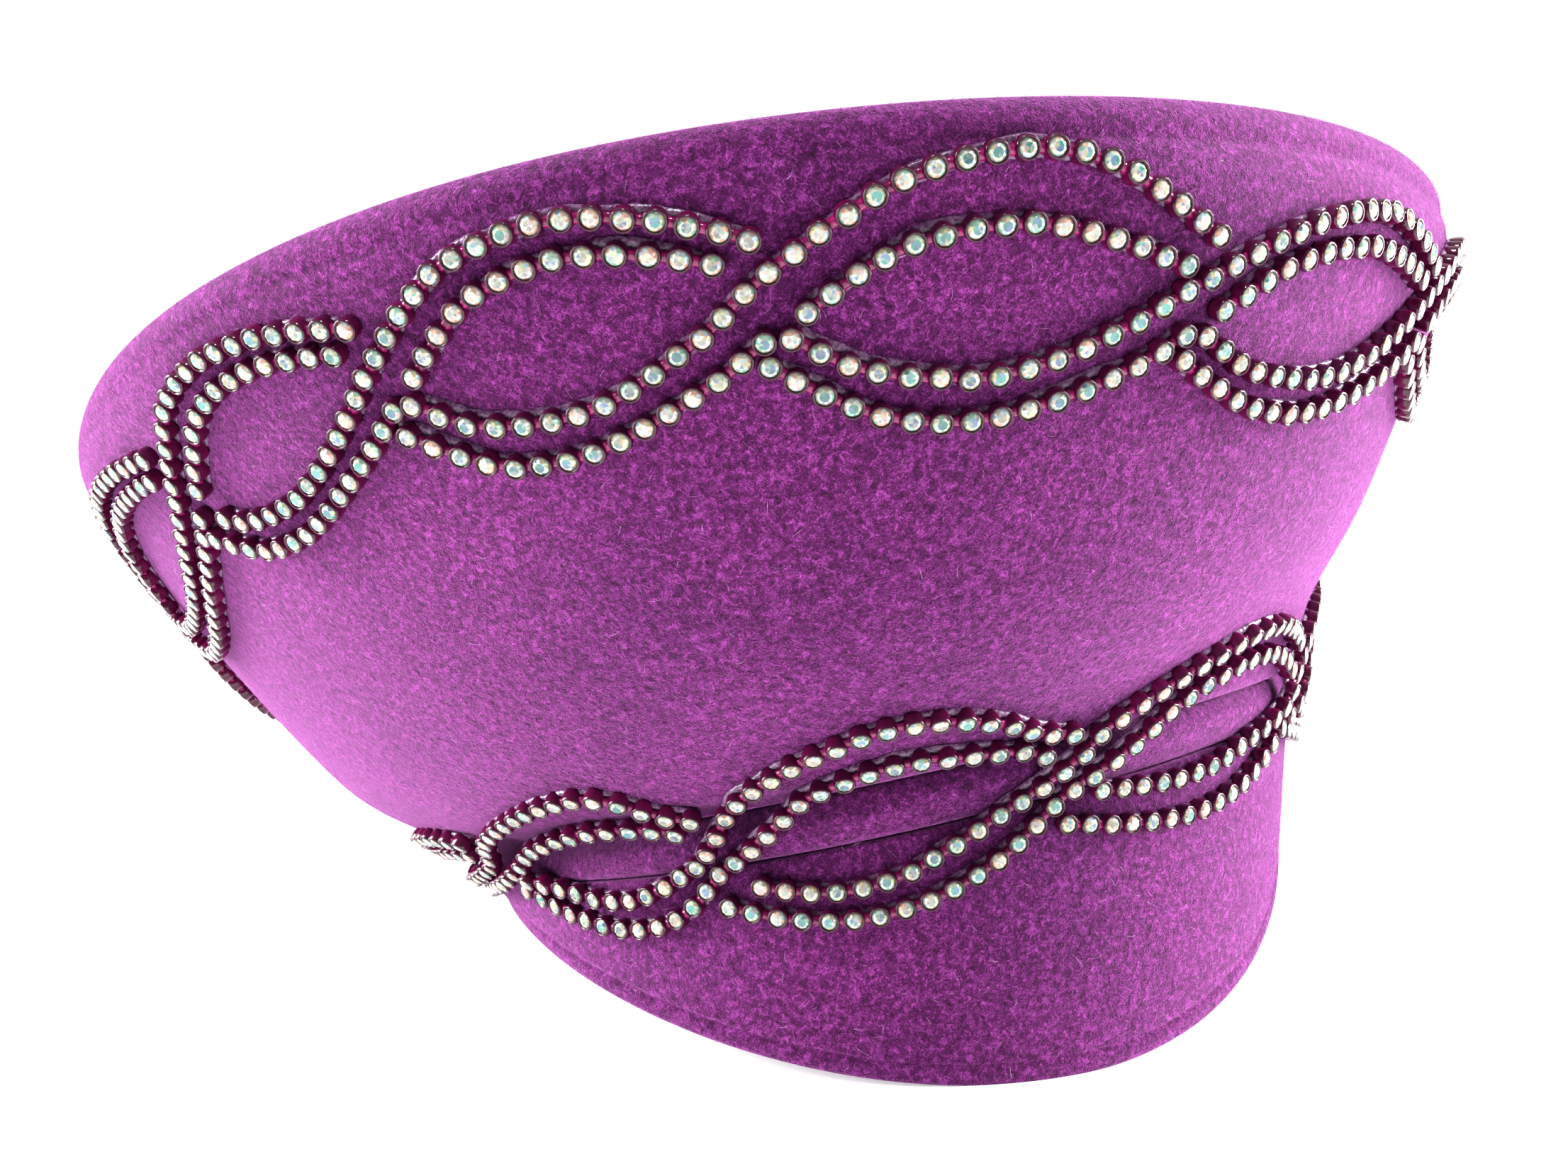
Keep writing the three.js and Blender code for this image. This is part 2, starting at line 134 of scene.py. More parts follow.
# Where the second row of the upper garland is broken to let the first row of the next swag through
UPPER_BREAK = 1.06
BREAK_PITCHES = 1.66
LOWER_ROW_1 = [
    (0.07, 0.44), (0.18, 0.68), (0.3, 0.86), (0.42, 0.95), (0.55, 0.89), (0.63, 0.77), (0.72, 0.6),
    (0.82, 0.38), (0.91, 0.1), (1.0, -0.19), (1.07, -0.36), (1.17, -0.54), (1.28, -0.7), (1.4, -0.85),
    (1.5, -0.93), (1.6, -0.99), (1.72, -0.97), (1.83, -0.87), (1.93, -0.71), (2.04, -0.43),
]
LOWER_ROW_2 = [
    (0.03, 0.59), (0.2, 0.82), (0.42, 0.98), (0.6, 0.95), (0.75, 0.81), (0.88, 0.6), (0.99, 0.33),
    (1.09, 0.0), (1.17, -0.31), (1.27, -0.56), (1.38, -0.78), (1.5, -0.92), (1.62, -0.97),
    (1.75, -0.9), (1.85, -0.7), (1.93, -0.45),
]
NODE_COLUMNS = ("azimuth", "below", "crest_outer", "crest_inner", "lobe_inner", "lobe_outer", "skew")
UPPER_SEEN = [
    (-144.5, 30.0, 20.5, 13.0, 11.0, 17.5, 0),
    (-118.5, 26.5, 21.5, 14.5, 11.0, 18.5, 0),
    (-92.5, 25.0, 25.5, 14.5, 10.0, 17.5, 0),
    (-64.5, 29.0, 18.0, 12.0, 11.0, 17.5, 0),
    (-35.5, 33.0, 20.5, 12.5, 11.0, 17.5, 0),
]
UPPER_BEHIND = (0, 0, 21.0, 13.0, 10.5, 18.0, 0)
UPPER_HIDDEN = 8
LOWER_SEEN = [
    (-188, -4, 12.0, 6.5, 4.5, 10.0, 0),
    (-146, -9, 22.5, 12.0, 10.0, 15.5, 0.1),
    (-113, -3, 28.0, 18.0, 12.5, 18.0, 0),
    (-73.5, -4.5, 23.0, 15.5, 8.5, 16.5, 0.04),
    (-33, -6, 26.0, 17.0, 7.0, 13.0, 0),
]
LOWER_BEHIND = (0, -7, 23.0, 13.5, 5.0, 11.0, 0)
LOWER_HIDDEN = 3

rng = np.random.default_rng(57)


# Small helpers on arrays of points
def unit(vectors):
    return vectors / np.linalg.norm(vectors, axis=-1, keepdims=True)


def dots(a, b):
    return (a * b).sum(-1)


def stood(points):
    """Points of the level hat in millimetres, as it stands, in metres."""
    return (points @ LEANING.T + SHIFT) * MM


def wander(angle, seed, waves=(2, 3, 5, 8, 13)):
    """A smooth value between about -1 and 1 that goes round the hat and meets itself."""
    phases = np.random.default_rng(seed).uniform(0, 2 * math.pi, len(waves))
    parts = [np.sin(wave * angle + phase) / (1 + 0.15 * wave) for wave, phase in zip(waves, phases)]
    return sum(parts) / len(waves) ** 0.5


# The outer surface of the felt
def ring_points(angle):
    """Where each ring lies at each angle: rings, then angles, then x, y and z."""
    ring = dict(zip(RING_COLUMNS, np.array(RING_ROWS).T[:, :, None]))
    cos2, sin2 = np.cos(2 * angle), np.sin(2 * angle)
    out = ring["radius"] * (1 + ring["oval_x"] * cos2 + ring["oval_d"] * sin2)
    x, y = out * np.cos(angle), out * np.sin(angle)
    sag = ring["sag_x"] * cos2 + ring["sag_d"] * sin2
    z = ring["height"] + ring["slope_x"] * x + ring["slope_y"] * y + sag
    return np.stack([ring["x"] + x, ring["y"] + y, z], -1)


def level_out(angle):
    return np.stack([np.cos(angle), np.sin(angle), np.zeros_like(angle)], -1)


def eased(value, ease):
    """What is above zero, with a rounded start."""
    return 0.5 * (value + np.hypot(value, ease))


def section(angle, bridged=False):
    """The ring points with the brim kept deep enough and the flare even up to the hem."""
    points = ring_points(angle)
    level = level_out(angle)
    over = points[CREASE, :, 2] - points[EDGE, :, 2] - BRIM_LEAST_DEPTH
    points[EDGE, :, 2] = points[CREASE, :, 2] - BRIM_LEAST_DEPTH - eased(over, DEPTH_EASE)
    flare = dots(points[EDGE] - points[CREASE], level) - BRIM_MOST_FLARE
    points[EDGE] -= level * eased(flare, FLARE_EASE)[:, None]
    near = HEM_REACH - (points[HEM, :, 2] - points[HEM - 1, :, 2])
    slide = unit(points[HEM - 1] - points[HEM - 2])
    points[HEM - 1] -= slide * eased(near, REACH_EASE)[:, None]
    turn = np.abs((np.degrees(angle) - FRONT_AZIMUTH + 540) % 360 - 180) / FRONT_WIDTH
    push = FRONT_PUSH * np.cos(np.minimum(turn, 1) * math.pi / 2) ** 2
    points[[HEM, TOP]] += push[:, None] * (level - [0, 0, FRONT_DROP])
    if bridged:
        away = unit(level - [0, 0, 0.5])
        hollow = dots((points[CREASE] + points[LIP + 1]) / 2 - points[LIP], away)
        points[LIP] += away * (BRIDGED_SHARE * np.maximum(hollow, 0))[:, None]
    return points


def outer(angle, t, bridged=False):
    """The point at place t of the surface, a smooth curve through the ring points at each angle."""
    points = section(angle, bridged)
    before, after = 2 * points[:1] - points[1:2], 2 * points[-1:] - points[-2:-1]
    points = np.concatenate([before, points, after])
    t = np.broadcast_to(t, angle.shape)
    k = np.clip(np.floor(t).astype(int), 0, TOP - 1)
    u = (t - k)[:, None]
    a, b, c, d = (points[k + step, np.arange(len(angle))] for step in range(4))
    fastest = MOST_SPEED * np.linalg.norm(c - b, axis=-1, keepdims=True)
    leave, arrive = (c - a) / 2, (d - b) / 2
    leave *= np.minimum(1, fastest / np.linalg.norm(leave, axis=-1, keepdims=True))
    arrive *= np.minimum(1, fastest / np.linalg.norm(arrive, axis=-1, keepdims=True))
    ease = u * u * (3 - 2 * u)
    return b + (c - b) * ease + leave * u * (1 - u) ** 2 - arrive * u * u * (1 - u)


def outward(angle, t, bridged=False):
    step = 0.01
    t = np.broadcast_to(t, angle.shape)
    along = outer(angle + step, t, bridged) - outer(angle - step, t, bridged)
    up = outer(angle, np.minimum(t + step, TOP), bridged) - outer(angle, np.maximum(t - step, EDGE), bridged)
    return unit(np.cross(along, up))


def below(angle, t, distance):
    """The place that lies `distance` below place t along the surface, or above it if negative."""
    stride = 0.02
    place = np.full(angle.shape, float(t))
    distance = np.broadcast_to(distance, angle.shape)
    left = np.abs(distance).astype(float)
    way = np.where(distance > 0, -stride, stride)
    here = outer(angle, place, True)
    going = left > 0
    while going.any():
        ahead = outer(angle, np.clip(place + way, EDGE, TOP), True)
        length = np.maximum(np.linalg.norm(ahead - here, axis=-1), 1e-9)
        place = np.where(going, place + way * np.minimum(1, left / length), place)
        left = np.where(going, left - length, left)
        here = np.where(going[:, None], ahead, here)
        going = (left > 0) & (place + way >= EDGE) & (place + way <= TOP)
    return place


def dent(angle, t):
    """Shallow dents that handling leaves in the wall."""
    return DENT_DEPTH * wander(angle + 0.23 * t, 11) * np.sin(1.9 * t + 2 * wander(angle, 12, (1, 2)))


def felt(angle, t, out=0.0, rise=0.0, dented=0.0):
    """A point at place t, moved out of the surface by `out` and straight up by `rise`."""
    t = np.broadcast_to(t, angle.shape)
    out = out + dented * dent(angle, t)
    point = outer(angle, t) + outward(angle, t) * np.broadcast_to(out, angle.shape)[:, None]
    point[:, 2] += rise
    return point


def band(angle, share, out, rise=0.0):
    """A point `share` of the way from the crease to the lip, moved sideways by `out`."""
    point = outer(angle, CREASE + share) + level_out(angle) * out
    point[:, 2] += rise
    return point


# Meshes
def soften(rows, rounds):
    """Rounds the corners of a closed section by cutting them, again and again."""
    for _ in range(rounds):
        after = np.roll(rows, -1, axis=0)
        rows = np.stack([0.75 * rows + 0.25 * after, 0.25 * rows + 0.75 * after], 1)
        rows = rows.reshape(-1, *rows.shape[2:])
    return rows


def grid_faces(row_count, count, closed):
    """Quads that join rows of points to a skin that is closed round each row."""
    row = np.arange(row_count if closed else row_count - 1)[:, None]
    i = np.arange(count)[None, :]
    after = (row + 1) % row_count
    beside = (i + 1) % count
    quads = [row * count + i, row * count + beside, after * count + beside, after * count + i]
    return np.stack(quads, -1).reshape(-1, 4)


def capped_faces(row_count, count):
    """The skin over rows of points, with a flat face at either end."""
    first_of_last = count * (row_count - 1)
    caps = [list(range(count - 1, -1, -1)), list(range(first_of_last, first_of_last + count))]
    return grid_faces(row_count, count, False).tolist() + caps


def make_piece(name, points, faces, material, stands_for=(), smooth=True):
    """A mesh object in the frame that rides on the hat."""
    mesh = bpy.data.meshes.new(name)
    mesh.from_pydata(points.tolist(), [], faces if isinstance(faces, list) else faces.tolist())
    mesh.polygons.foreach_set("use_smooth", np.full(len(mesh.polygons), smooth))
    mesh.materials.append(material)
    mesh.update()
    piece = bpy.data.objects.new(name, mesh)
    bpy.context.scene.collection.objects.link(piece)
    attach(piece, "root")
    if stands_for:
        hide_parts(*stands_for)
    return piece


def scatter(shape_points, shape_faces, origins, axes):
    """Copies of a small shape, each at an origin with its own x, y and z axes, as one mesh."""
    points = origins[:, None, :] + np.einsum("kc,mcd->mkd", shape_points, axes)
    step = len(shape_points)
    faces = [[corner + step * m for corner in face] for m in range(len(origins)) for face in shape_faces]
    return points.reshape(-1, 3), faces


# Felt pieces
def crown_rows(angle):
    """Up the outside from the lip, over the turned hem, and down the inside."""
    groove = 0.5 + 0.35 * wander(angle, 21, (3, 7, 12, 19))
    slip = 0.35 * wander(angle, 22, (2, 5, 9, 14))
    rows = [band(angle, 1, -0.5)]
    start = below(angle, HEM, 8.0)
    for share in np.linspace(0, 1, 26):
        rows.append(felt(angle, 2.15 + (start - 2.15) * share, dented=min(1.0, 3 * share)))
    for drop in (6.5, 5.0, 3.7, 2.6):
        rows.append(felt(angle, below(angle, HEM, drop + slip), 0.02 * drop))
    rows.append(felt(angle, below(angle, HEM, 1.5 + slip), -0.35 * groove))
    rows.append(felt(angle, below(angle, HEM, 0.6 + slip), -0.9 * groove))
    rows.append(felt(angle, below(angle, HEM, slip - 0.2), -groove))
    for height, out in ((0.9, -0.2), (1.7, 0.15), (2.6, 0.35), (3.6, 0.45), (4.5, 0.35), (5.4, 0.1)):
        rows.append(felt(angle, HEM + height / HEM_HEIGHT, out))
    for out, rise in ((-0.6, 0.4), (-1.5, 0.75), (-2.8, 0.75), (-3.8, 0.2)):
        rows.append(felt(angle, TOP, out, rise))
    for t in (6.8, 6.5, 6.2, HEM):
        rows.append(felt(angle, t, -HEM_THICKNESS))
    rows.append(felt(angle, below(angle, HEM, 1.2), -WALL))
    rows += [felt(angle, t, -WALL) for t in (5.5, 5.25, 5.0, 4.7, 4.3, 4.0, 3.6, 3.3, 3.0, 2.7, 2.4)]
    rows.append(band(angle, 1, -5.0, WALL))
    rows.append(band(angle, 1, -5.4))
    return np.array(rows)


def band_rows(angle):
    """Up the outside of the roll and down the inside, with tongues behind the brim and behind the lip."""
    swell = 0.25 * wander(angle, 31)
    return np.array([
        band(angle, 0, -4.6, -2.6),
        band(angle, 0, -3.5, -2.6),
        band(angle, 0, -3.3, GAP / 2),
        band(angle, 0, -0.8, GAP / 2),
        band(angle, 0.06, 0.1),
        band(angle, 0.14, 0.65),
        band(angle, 0.3, 1.0) + level_out(angle) * swell[:, None],
        band(angle, 0.42, 1.0) + level_out(angle) * swell[:, None],
        band(angle, 0.55, 0.55),
        band(angle, 0.74, -0.9),
        band(angle, 1, -3.2, -GAP),
        band(angle, 1, -5.7, -GAP),
        band(angle, 1, -5.9, 1.6),
        band(angle, 1, -6.9, 1.6),
        band(angle, 0.5, -4.9),
    ])


def brim_rows(angle):
    """Up the outside from the edge to the crease, and down the inside."""
    groove = 0.35 + 0.2 * wander(angle, 41, (3, 7, 12, 19))
    slip = 0.3 * wander(angle, 42, (2, 5, 9, 14))
    rows = [felt(angle, EDGE, -BRIM_HEM_THICKNESS), felt(angle, EDGE, -1.7), felt(angle, EDGE, -0.4)]
    for height, out in ((0.7, 0.15), (1.6, 0.25), (2.6, 0.25), (3.5, 0.1)):
        rows.append(felt(angle, below(angle, EDGE, -height), out))
    rows.append(felt(angle, below(angle, EDGE, -4.3 + slip), -groove))
    start = below(angle, EDGE, -5.0 + slip)
    for share in np.linspace(0, 1, 16):
        t = start + (0.95 - start) * share
        rows.append(felt(angle, t, -0.1 * (share == 1), dented=math.sin(math.pi * share)))
    rows.append(band(angle, 0, -0.6, -GAP / 2))
    rows.append(band(angle, 0, -3.0, -GAP / 2))
    rows += [felt(angle, t, -WALL) for t in (0.75, 0.6, 0.45, 0.3, 0.16)]
    rows.append(felt(angle, 0.12, -BRIM_HEM_THICKNESS + 0.6))
    rows.append(felt(angle, 0.09, -BRIM_HEM_THICKNESS))
    return np.array(rows)


def wall_piece(name, rows, material, node, rests=False):
    """A closed felt wall, softened along its section. Where it rests, it's pressed flat."""
    soft = stood(soften(rows, SOFTEN_ROUNDS))
    if rests:
        soft[..., 2] = np.maximum(soft[..., 2], 0)
    faces = grid_faces(soft.shape[0], soft.shape[1], True)
    make_piece(name, soft.reshape(-1, 3), faces, material, [node])
    return soft


def tip_piece(material):
    """The disc that closes the crown just under its rim, slightly domed."""
    angle = np.linspace(0, 2 * math.pi, AROUND, endpoint=False)
    inset = -WALL - 3 * GAP
    edge = felt(angle, below(angle, HEM, TIP_BELOW_HEM), inset)
    foot = felt(angle, below(angle, HEM, TIP_BELOW_HEM + WALL), inset)
    middle = outer(angle, below(angle, HEM, TIP_BELOW_HEM)).mean(0)
    shares = np.array([1.0, 0.985, 0.96, 0.92, 0.86, 0.78, 0.69, 0.6, 0.5, 0.4, 0.3, 0.2, 0.1, 0.03])
    top = []
    for share in shares:
        rise = TIP_DOME * (1 - share * share) + 0.3 * share * wander(angle + share, 51)
        ring = middle + (edge - middle) * share
        ring[:, 2] += rise - 0.5 * (share == 1)
        top.append(ring)
    bottom = [ring - [0, 0, WALL] for ring in top[::-1]]
    bottom[-1] = foot
    rows = stood(np.array(bottom + top))
    faces = capped_faces(len(rows), AROUND)
    make_piece("tip_felt", rows.reshape(-1, 3), faces, material, ["crown_tip"])


def outside(skin, rows):
    """The part of a softened skin that came from the section rows between a first and a last one."""
    first, last = rows
    return skin[ROWS_EACH * first : ROWS_EACH * last]


def sample_skin(rows, count):
    """Even random places on a skin of rows: points, normals and one direction along the skin."""
    a, b = rows[:-1], np.roll(rows, -1, axis=1)[:-1]
    d, c = rows[1:], np.roll(rows, -1, axis=1)[1:]
    cross = np.cross(c - a, d - b)
    area = np.linalg.norm(cross, axis=-1)
    chosen = rng.choice(area.size, count, p=area.ravel() / area.sum())
    a, b, c, d = (corner.reshape(-1, 3)[chosen] for corner in (a, b, c, d))
    u, v = rng.random((2, count, 1))
    point = (a * (1 - u) + b * u) * (1 - v) + (d * (1 - u) + c * u) * v
    normal = unit(cross.reshape(-1, 3)[chosen])
    along = unit(b - a)
    return point, normal, along


def nap_piece(name, rows, count, length, lift, material):
    """Short fibres that lie on the felt, each a thin spike with its root under the surface."""
    point, normal, along = sample_skin(rows, count)
    across = np.cross(normal, along)
    swirl = 2.2 * np.sin(point @ [310, 170, -230]) + 1.7 * np.sin(point @ [-140, 260, 350])
    turn = swirl + rng.normal(0, 1.1, count)
    lie = along * np.cos(turn)[:, None] + across * np.sin(turn)[:, None]
    side = np.cross(normal, lie)
    reach = rng.uniform(0.5, 1.3, (count, 1)) * length * MM
    high = rng.uniform(0.3, 1.4, (count, 1)) * lift * MM
    half = rng.uniform(0.018, 0.04, (count, 1)) * MM
    root = point - normal * 0.12 * MM
    tip = point + lie * reach + normal * high
    corners = np.stack([root - side * half, root + side * half, root + normal * half * 2, tip], 1)
    corners[..., 2] = np.maximum(corners[..., 2], 0)
    base = 4 * np.arange(count)[:, None, None]
    faces = np.array([(0, 2, 1), (0, 1, 3), (1, 2, 3), (2, 0, 3)])[None] + base
    make_piece(name, corners.reshape(-1, 3), faces.reshape(-1, 3), material)


def stray_fibres(name, rows, count, material):
    """Longer single fibres that stand off the felt, curved, as thin tubes of three sides."""
    steps = 5
    point, normal, along = sample_skin(rows, count)
    turn = rng.uniform(0, 2 * math.pi, count)
    across = np.cross(normal, along)
    lie = along * np.cos(turn)[:, None] + across * np.sin(turn)[:, None]
    bend = across * np.cos(turn)[:, None] - along * np.sin(turn)[:, None]
    length = rng.uniform(0.9, 2.8, (count, 1)) * MM
    lift = rng.uniform(0.1, 0.5, (count, 1)) * length
    curl = rng.normal(0, 0.35, (count, 1)) * length
    radius = rng.uniform(0.014, 0.026, (count, 1)) * MM
    rings = []
    for share in np.linspace(0, 1, steps):
        middle = point + lie * length * share + bend * curl * share**2
        middle = middle + normal * (lift * math.sin(math.pi * share * 0.8) - 0.1 * MM * (share == 0))
        thin = radius * (1.0 if share < 1 else 0.3)
        for corner in range(3):
            part = corner * 2 * math.pi / 3
            rings.append(middle + thin * (normal * math.cos(part) + bend * math.sin(part)))
    points = np.stack(rings, 1)
    points[..., 2] = np.maximum(points[..., 2], 0)
    shape = capped_faces(steps, 3)
    faces = [[corner + 3 * steps * m for corner in face] for m in range(count) for face in shape]
    make_piece(name, points.reshape(-1, 3), faces, material)


# Routes of the banding
def garland_nodes(seen, hidden, behind):
    """The nodes that show in front, then equal spaces round the back."""
    nodes = [dict(zip(NODE_COLUMNS, row)) for row in seen]
    last = nodes[-1]
    first = nodes[0]
    space = (first["azimuth"] + 360 - last["azimuth"]) / (hidden + 1)
    for i in range(1, hidden + 1):
        node = dict(zip(NODE_COLUMNS, behind))
        node["azimuth"] = last["azimuth"] + space * i
        node["below"] = node["below"] or last["below"] + (first["below"] - last["below"]) * i / (hidden + 1)
        nodes.append(node)
    return nodes


def smooth_line(corners, steps):
    """A centripetal Catmull-Rom curve through the corners."""
    corners = np.concatenate([2 * corners[:1] - corners[1:2], corners, 2 * corners[-1:] - corners[-2:-1]])
    line = []
    for a, b, c, d in zip(corners, corners[1:], corners[2:], corners[3:]):
        before, span, after = (max(np.linalg.norm(q - p) ** 0.5, 1e-4) for p, q in ((a, b), (b, c), (c, d)))
        leave = ((b - a) / before - (c - a) / (before + span) + (c - b) / span) * span
        arrive = ((c - b) / span - (d - b) / (span + after) + (d - c) / after) * span
        for u in np.arange(steps) / steps:
            ease = u * u * (3 - 2 * u)
            line.append(b + (c - b) * ease + leave * u * (1 - u) ** 2 - arrive * u * u * (1 - u))
    return np.array([*line, corners[-2]])


def row_route(garland, k, row):
    """Angles, places and ways along one row of the swag that starts at node k."""
    nodes = garland["nodes"]
    corners = []
    for way, share in garland["rows"][row]:
        at = nodes[(k + math.floor(way)) % len(nodes)]
        after = nodes[(k + math.floor(way) + 1) % len(nodes)]
        even = way - math.floor(way)
        part = even + at["skew"] * math.sin(math.pi * even)
        turn = (after["azimuth"] - at["azimuth"] + 360) % 360
        lobe = nodes[k]["lobe_inner" if row == 0 else "lobe_outer"]
        crest = nodes[(k + 1) % len(nodes)]["crest_outer" if row == 0 else "crest_inner"]
        line = at["below"] + (after["below"] - at["below"]) * part
        reach = lobe if share > 0 else crest
        corners.append((math.radians(at["azimuth"] + turn * part), line + share * reach))
    corners = np.array(corners)
    corners[:, 0] += np.where(corners[:, 0] < corners[0, 0] - 1e-6, 2 * math.pi, 0)
    line = smooth_line(corners * [garland["radius"], 1], ROUTE_STEPS)
    angle = line[:, 0] / garland["radius"]
    ways = [way for way, _ in garland["rows"][row]]
    way = np.interp(np.arange(len(line)) / ROUTE_STEPS, np.arange(len(ways)), ways)
    return angle, below(angle, garland["place"], line[:, 1]), way


def stone_places(garland, k, row):
    """Evenly spaced seats along a row, as one chain or as two where the row is broken: points, outward
    normals and ways along, in the standing frame."""
    angle, t, way = row_route(garland, k, row)
    share = (t - BRIDGE_START) / BRIDGE_PLACES
    stand_off = STRIP_LIFT + BAND_BRIDGE * np.sin(math.pi * np.clip(share, 0, 1))
    normal = outward(angle, t, True)
    line = outer(angle, t, True) + normal * stand_off[:, None]
    travelled = np.concatenate([[0], np.cumsum(np.linalg.norm(np.diff(line, axis=0), axis=1))])
    spans = [(0, travelled[-1])]
    if garland["breaks"][row]:
        middle = np.interp(garland["breaks"][row], way, travelled)
        half = BREAK_PITCHES * PITCH / 2
        spans = [(0, middle - half), (middle + half, travelled[-1])]
    chains = []
    for start, end in spans:
        at = np.linspace(start, end, max(2, round((end - start) / PITCH) + 1))
        point = np.stack([np.interp(at, travelled, line[:, axis]) for axis in range(3)], -1)
        up = unit(np.stack([np.interp(at, travelled, normal[:, axis]) for axis in range(3)], -1))
        along = np.gradient(point, axis=0)
        along = unit(along - up * dots(along, up)[:, None])
        chains.append((stood(point), up @ LEANING.T, along @ LEANING.T))
    return chains


# Small shapes of the banding, in millimetres with z away from the felt
def cup_shape():
    """A turned cup with a rounded rim and a shallow seat for the stone."""
    r, h = CUP_RADIUS, CUP_HEIGHT
    profile = [
        (r * 0.88, 0.0), (r, h * 0.35), (r * 0.985, h * 0.8), (r * 0.94, h * 0.94), (r * 0.86, h),
        (r * 0.76, h * 0.94), (r * 0.72, h * 0.78),
    ]
    turn = np.arange(CUP_SIDES) * 2 * math.pi / CUP_SIDES
    cos, sin = np.cos(turn), np.sin(turn)
    rows = [np.stack([out * cos, out * sin, np.full(CUP_SIDES, z)], -1) for out, z in profile]
    return np.concatenate(rows), capped_faces(len(rows), CUP_SIDES)


def bar_shape():
    """A rounded bar along y, from one cup's middle (0) to the next one's (1)."""
    sides = 6
    turn = np.arange(sides) * 2 * math.pi / sides
    rows = []
    for y, swell in ((0.2, 1.1), (0.5, 0.9), (0.8, 1.1)):
        x = BAR_HALF_WIDTH * swell * np.cos(turn)
        z = BAR_MIDDLE + BAR_HALF_HEIGHT * swell * np.sin(turn)
        rows.append(np.stack([-x, np.full(sides, y), z], -1))
    return np.concatenate(rows), capped_faces(len(rows), sides)


def stone_shape():
    """A round cut stone: a fan over the table, a ring of star and kite facets, the girdle and the back."""
    table, waist, girdle = 0.56 * STONE_RADIUS, 0.82 * STONE_RADIUS, STONE_RADIUS
    turn = np.arange(EIGHTHS) * math.pi / 4
    half = turn + math.pi / 8
    fine = np.arange(2 * EIGHTHS) * math.pi / 8
    points = [(0, 0, 0.8)]
    points += [(table * math.cos(a), table * math.sin(a), 0.8) for a in turn]
    points += [(waist * math.cos(a), waist * math.sin(a), 0.56) for a in half]
    points += [(girdle * math.cos(a), girdle * math.sin(a), 0.12) for a in fine]
    points += [(0.9 * girdle * math.cos(a), 0.9 * girdle * math.sin(a), -0.3) for a in fine]
    faces = []
    for i in range(EIGHTHS):
        after = (i + 1) % EIGHTHS
        faces.append([0, 1 + i, 1 + after])
        faces.append([1 + i, 9 + i, 1 + after])
        low, middle, high = 17 + 2 * i, 17 + 2 * i + 1, 17 + (2 * i + 2) % 16
        faces.append([1 + after, 9 + i, high, 9 + after])
        faces.append([9 + i, low, middle])
        faces.append([9 + i, middle, high])
    for i in range(2 * EIGHTHS):
        after = (i + 1) % (2 * EIGHTHS)
        faces.append([17 + i, 33 + i, 33 + after, 17 + after])
    faces.append([33 + i for i in range(15, -1, -1)])
    return np.array(points), faces


def tilted(up, along, most):
    """Axes for each copy: its side, the way along and its outward axis, with a small random tilt."""
    count = len(up)
    side = unit(np.cross(along, up))
    sway = rng.normal(0, most, (2, count, 1))
    up = unit(up + side * sway[0] + along * sway[1])
    along = unit(along - up * dots(along, up)[:, None])
    side = np.cross(along, up)
    return side, along, up


def clear_ends(chains):
    """Takes stones off the ends of a chain where it runs up against another one."""
    least = CLOSEST_STONES * MM
    for own, chain in enumerate(chains):
        others = np.concatenate([other[0] for k, other in enumerate(chains) if k != own])
        near = np.linalg.norm(chain[0][:, None] - others[None], axis=-1).min(1) < least
        first, last = 0, len(near)
        while near[first] and last - first > 2:
            first += 1
        while near[last - 1] and last - first > 2:
            last -= 1
        chains[own] = tuple(part[first:last] for part in chain)
    return chains


def banding_pieces(garland, looks):
    """All rows of a garland: its cups with their bars, its stones and its glue."""
    name = garland["name"]
    nodes = []
    cups, bars, stones, glue = [], [], [], []
    chains = []
    for k in range(len(garland["nodes"])):
        for row in (0, 1):
            nodes.append(f"{name}_{k + 1:02d}_row_{row + 1}")
            chains += stone_places(garland, k, row)
    for point, up, along in clear_ends(chains):
        foot = point - up * CUP_SUNK * MM
        side, along, up = tilted(up, along, 0.035)
        cups.append((foot, np.stack([side, along, up], 1) * MM))
        span = foot[1:] - foot[:-1]
        bars.append((foot[:-1], np.stack([side[:-1] * MM, span, up[:-1] * MM], 1)))
        spin = rng.uniform(0, 2 * math.pi, (len(foot), 1))
        lean = rng.normal(0, 0.05, (2, len(foot), 1))
        axis = unit(up + side * lean[0] + along * lean[1])
        x = unit(np.cos(spin) * side + np.sin(spin) * along)
        x = unit(x - axis * dots(x, axis)[:, None])
        seat = foot + up * STONE_SEAT * MM
        stones.append((seat, np.stack([x, np.cross(axis, x), axis], 1) * MM))
        glue.append(glue_film(point, np.cross(along, up), up))
    cup_points, cup_faces = scatter(*cup_shape(), *(np.concatenate(part) for part in zip(*cups)))
    bar_points, bar_faces = scatter(*bar_shape(), *(np.concatenate(part) for part in zip(*bars)))
    step = len(cup_points)
    faces = cup_faces + [[corner + step for corner in face] for face in bar_faces]
    points = np.concatenate([cup_points, bar_points])
    piece = make_piece(f"{name}s_cups", points, faces, looks["cups"], nodes)
    paint_glow_faces(piece.data, len(cup_faces))
    stone_points, stone_faces = scatter(*stone_shape(), *(np.concatenate(part) for part in zip(*stones)))
    piece = make_piece(f"{name}s_stones", stone_points, stone_faces, looks["stones"], smooth=False)
    tint_facets(piece.data, len(stone_shape()[1]))
    film_points, film_faces = [], []
    for points, shape_faces in glue:
        start = sum(len(part) for part in film_points)
        film_faces += [[corner + start for corner in face] for face in shape_faces]
        film_points.append(points)
    make_piece(f"{name}s_glue", np.concatenate(film_points), film_faces, looks["glue"])


